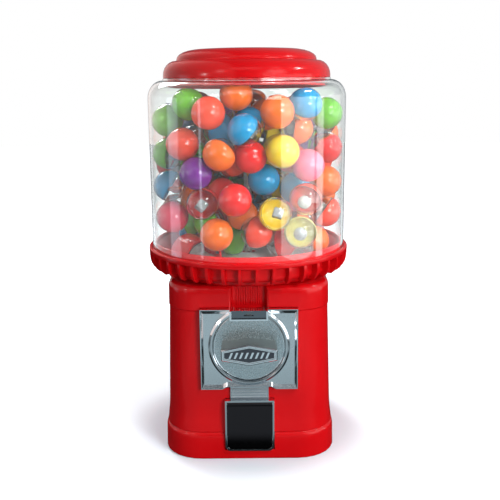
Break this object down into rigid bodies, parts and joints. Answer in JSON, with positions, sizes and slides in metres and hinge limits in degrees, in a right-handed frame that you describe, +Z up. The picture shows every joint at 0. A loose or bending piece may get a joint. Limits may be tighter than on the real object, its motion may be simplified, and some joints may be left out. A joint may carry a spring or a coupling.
{
  "type": "capsule vending machine",
  "caption": "Counter-top capsule vending machine: red lid, clear round globe of capsules, ribbed hopper, square body, coin knob and chute door.",
  "frame": {"origin": "middle of the base pan's underside, on the surface that the machine stands on", "axes": "+Z up along the centre rod, -Y out of the front with the knob and the door, +X to the right seen from the front"},
  "size_m": [0.2096, 0.2196, 0.4059],
  "materials": {
    "red_shell": "gloss",
    "grey_plastic": "satin",
    "zinc": "satin",
    "cast_zinc": "cast",
    "dark_chrome": "mirror",
    "steel": "zinc plated",
    "brass": "satin",
    "nylon": "satin",
    "bristle": "bristle",
    "clear_plastic": "clear polycarbonate",
    "capsules": "gloss, mixed colours"
  },
  "bodies": {
    "housing": {"base_pan": "red_shell", "cabinet": "red_shell", "chute": "grey_plastic", "door_frame": "zinc", "door_pin": "steel", "face_plate": "zinc", "mech_frame": "cast_zinc", "frame_screws": "steel", "plate_bolts": "steel", "pawl_stud": "steel", "pawl_spring": "steel", "idler_bracket": "steel", "hopper": "red_shell", "hopper_bolts": "steel", "brush_housing": "nylon", "brush": "bristle", "globe": "clear_plastic", "centre_rod": "steel", "rod_washer": "steel", "rod_nut": "steel", "capsules_lower": "capsules", "capsules_middle": "capsules", "capsules_upper": "capsules"},
    "knob": {"knob": "zinc", "knob_badge": "dark_chrome", "knob_shaft": "steel", "coin_carrier": "brass", "ratchet_disc": "cast_zinc", "drive_gear": "brass", "shaft_clip": "steel"},
    "idler": {"idler_gear": "nylon"},
    "wheel": {"wheel": "nylon", "crown_gear": "grey_plastic", "crown_screws": "steel"},
    "pawl": {"pawl": "steel"},
    "door": {"door_flap": "dark_chrome"},
    "lid": {"lid": "red_shell", "lock_body": "steel"},
    "lock": {"lock_plug": "brass"}
  },
  "joints": [
    {"name": "knob_turn", "type": "hinge", "parent": "housing", "child": "knob", "pos_m": [0, -0.08, 0.1205], "axis": [0, 1, 0], "continuous": true},
    {"name": "idler_turn", "type": "hinge", "parent": "housing", "child": "idler", "pos_m": [0, -0.0375, 0.15706], "axis": [0, 1, 0], "continuous": true},
    {"name": "wheel_turn", "type": "hinge", "parent": "housing", "child": "wheel", "pos_m": [0, 0, 0.19], "axis": [0, 0, 1], "continuous": true},
    {"name": "pawl_swing", "type": "hinge", "parent": "housing", "child": "pawl", "pos_m": [-0.022, -0.0685, 0.1405], "axis": [0, -1, 0], "range_deg": [0, 8], "stiffness_Nm_per_rad": 0.005, "springref_deg": -22.92},
    {"name": "door_swing", "type": "hinge", "parent": "housing", "child": "door", "pos_m": [0, -0.0885, 0.06], "axis": [-1, 0, 0], "range_deg": [0, 80]},
    {"name": "lid_lift", "type": "slide", "parent": "housing", "child": "lid", "axis": [0, 0, 1], "range_m": [0, 0.09]},
    {"name": "lock_turn", "type": "hinge", "parent": "lid", "child": "lock", "pos_m": [0, 0, 0.395], "axis": [0, 0, 1], "range_deg": [0, 90]}
  ],
  "couplings": [
    {"joint": "idler_turn", "follows": "knob_turn", "ratio": -0.25806},
    {"joint": "wheel_turn", "follows": "knob_turn", "ratio": -0.2}
  ]
}
